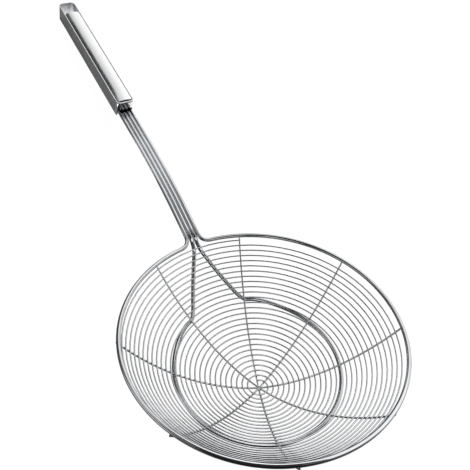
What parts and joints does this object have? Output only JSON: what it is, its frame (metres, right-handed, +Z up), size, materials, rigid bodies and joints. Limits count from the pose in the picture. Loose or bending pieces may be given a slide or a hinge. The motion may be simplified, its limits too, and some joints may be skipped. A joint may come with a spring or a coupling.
{
  "type": "skimmer",
  "caption": "Wire skimmer: a spiral-wire basket on curved ribs with a thick rim and a ring below, carried by a shaft of parallel wires in a hollow grip with a hanging slot.",
  "frame": {"origin": "on the table under the middle of the bounding box, the skimmer lying on its basket and grip", "axes": "+Y from the basket towards the end of the grip, +X to the right seen from the basket, +Z up"},
  "size_m": [0.19, 0.442, 0.0945],
  "materials": {
    "frame_wire": "bright polished steel wire",
    "rib_wire": "bright steel wire",
    "spiral_wire": "bright steel wire",
    "grip_band": "brushed lengthwise",
    "grip_nose": "polished",
    "grip_cover": "satin, bright"
  },
  "bodies": {
    "root": {"rim_wire": "frame_wire", "ring_wire": "frame_wire", "rib_left": "rib_wire", "rib_right": "rib_wire", "rib_short_1": "rib_wire", "rib_short_2": "rib_wire", "rib_short_3": "rib_wire", "rib_short_4": "rib_wire", "spiral_wire": "spiral_wire", "grip_band": "grip_band", "grip_nose": "grip_nose", "grip_top_cover": "grip_cover", "grip_bottom_cover": "grip_cover"}
  },
  "joints": []
}
